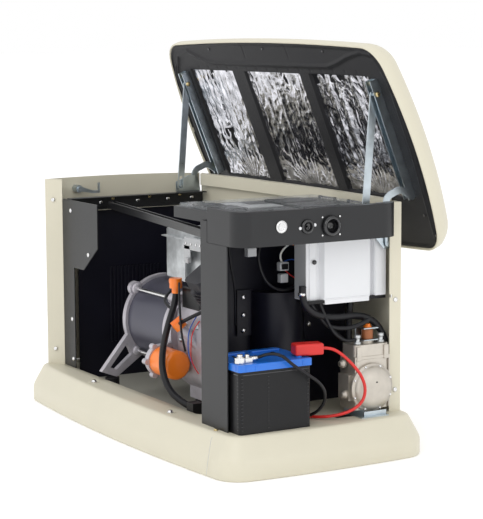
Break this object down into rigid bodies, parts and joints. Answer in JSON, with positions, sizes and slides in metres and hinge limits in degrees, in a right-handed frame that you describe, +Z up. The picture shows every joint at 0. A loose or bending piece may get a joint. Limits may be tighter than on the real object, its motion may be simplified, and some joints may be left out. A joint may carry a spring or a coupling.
{
  "type": "home standby generator",
  "caption": "Air-cooled home standby generator in a cream steel enclosure, roof lid propped open, service panels off, engine, alternator, battery and gas regulator exposed.",
  "frame": {"origin": "middle of the underside of the base", "axes": "+X towards the control and battery end, -Y towards the open front, +Z up"},
  "size_m": [1.2178, 0.7337, 1.0487],
  "materials": {
    "cream_paint": "satin",
    "charcoal": "textured",
    "dark_paint": "satin",
    "foil": "bright",
    "zinc": "satin",
    "cast": "cast",
    "black_rubber": "matte",
    "black_plastic": "matte",
    "battery_blue": "gloss",
    "red_plastic": "satin",
    "orange": "gloss",
    "white_plastic": "satin",
    "clear": "clear",
    "black_metal": "satin",
    "galvanised": "satin",
    "copper": "varnished",
    "yellow_chromate": "satin",
    "grey_module": "satin"
  },
  "bodies": {
    "frame": {"base_frame": "cream_paint", "floor_pan": "cream_paint", "left_end_panel": "cream_paint", "rear_panel": "cream_paint", "right_rear_post": "dark_paint", "left_upright": "dark_paint", "top_rail": "dark_paint", "front_brace": "dark_paint", "centre_post": "dark_paint", "partition_wall": "black_metal", "inner_baffle": "black_metal", "control_band": "dark_paint", "control_shelf": "dark_paint", "main_breaker": "black_plastic", "panel_outlets": "black_plastic", "lock_body": "zinc", "controller_module": "white_plastic", "battery_case": "black_plastic", "battery_lid": "battery_blue", "negative_clamp": "zinc", "positive_boot": "red_plastic", "negative_cable": "black_rubber", "positive_cable": "red_plastic", "regulator_bracket": "zinc", "regulator_body": "cast", "regulator_dome": "cast", "gas_solenoid": "copper", "gas_hose": "black_rubber", "vent_hose": "black_rubber", "muffler_shield": "black_metal", "muffler": "galvanised", "crankcase": "cast", "oil_filter": "orange", "cylinders": "cast", "rocker_covers": "black_metal", "oil_cap": "orange", "air_intake": "black_plastic", "alternator_can": "black_metal", "stator": "copper", "alternator_end_frame": "cast", "alternator_rods": "zinc", "rubber_mounts": "black_rubber", "electrical_box": "galvanised", "drain_cap": "orange", "oil_drain_hose": "black_rubber", "hinge_brackets": "zinc", "latch_body": "zinc", "screws": "yellow_chromate"},
    "lid": {"lid_shell": "cream_paint", "lid_liner": "charcoal", "foil_pads": "foil", "lid_arms": "zinc"},
    "left_prop": {"left_strut": "zinc"},
    "right_prop": {"right_strut": "zinc"},
    "latch": {"latch_hook": "zinc"},
    "lock": {"lock_barrel": "zinc"},
    "toggle": {"breaker_toggle": "white_plastic"},
    "cover": {"clear_cover": "clear"},
    "shaft": {"rotor_shaft": "galvanised", "cooling_fan": "black_plastic"}
  },
  "joints": [
    {"name": "lid_hinge", "type": "hinge", "parent": "frame", "child": "lid", "pos_m": [0, 0.228, 0.536], "axis": [1, 0, 0], "range_deg": [0, 68]},
    {"name": "left_prop_pivot", "type": "hinge", "parent": "lid", "child": "left_prop", "pos_m": [-0.49, 0.1904, 0.91124], "axis": [1, 0, 0], "range_deg": [0, 21]},
    {"name": "right_prop_pivot", "type": "hinge", "parent": "lid", "child": "right_prop", "pos_m": [0.49, 0.1904, 0.91124], "axis": [1, 0, 0], "range_deg": [0, 21]},
    {"name": "latch_turn", "type": "hinge", "parent": "frame", "child": "latch", "pos_m": [-0.555, -0.139, 0.612], "axis": [1, 0, 0], "range_deg": [-90, 0]},
    {"name": "key_turn", "type": "hinge", "parent": "frame", "child": "lock", "pos_m": [0.575, -0.132, 0.606], "axis": [1, 0, 0], "range_deg": [0, 90]},
    {"name": "breaker_throw", "type": "hinge", "parent": "frame", "child": "toggle", "pos_m": [0.42, -0.06, 0.616], "axis": [0, 1, 0], "range_deg": [-36, 0]},
    {"name": "cover_flip", "type": "hinge", "parent": "frame", "child": "cover", "pos_m": [0.35, 0.196, 0.635], "axis": [1, 0, 0], "range_deg": [-80, 0]},
    {"name": "shaft_spin", "type": "hinge", "parent": "frame", "child": "shaft", "pos_m": [0, -0.023, 0.267], "axis": [1, 0, 0], "continuous": true}
  ],
  "couplings": [
    {"joint": "left_prop_pivot", "follows": "lid_hinge", "ratio": 0.3008},
    {"joint": "right_prop_pivot", "follows": "lid_hinge", "ratio": 0.3008}
  ]
}
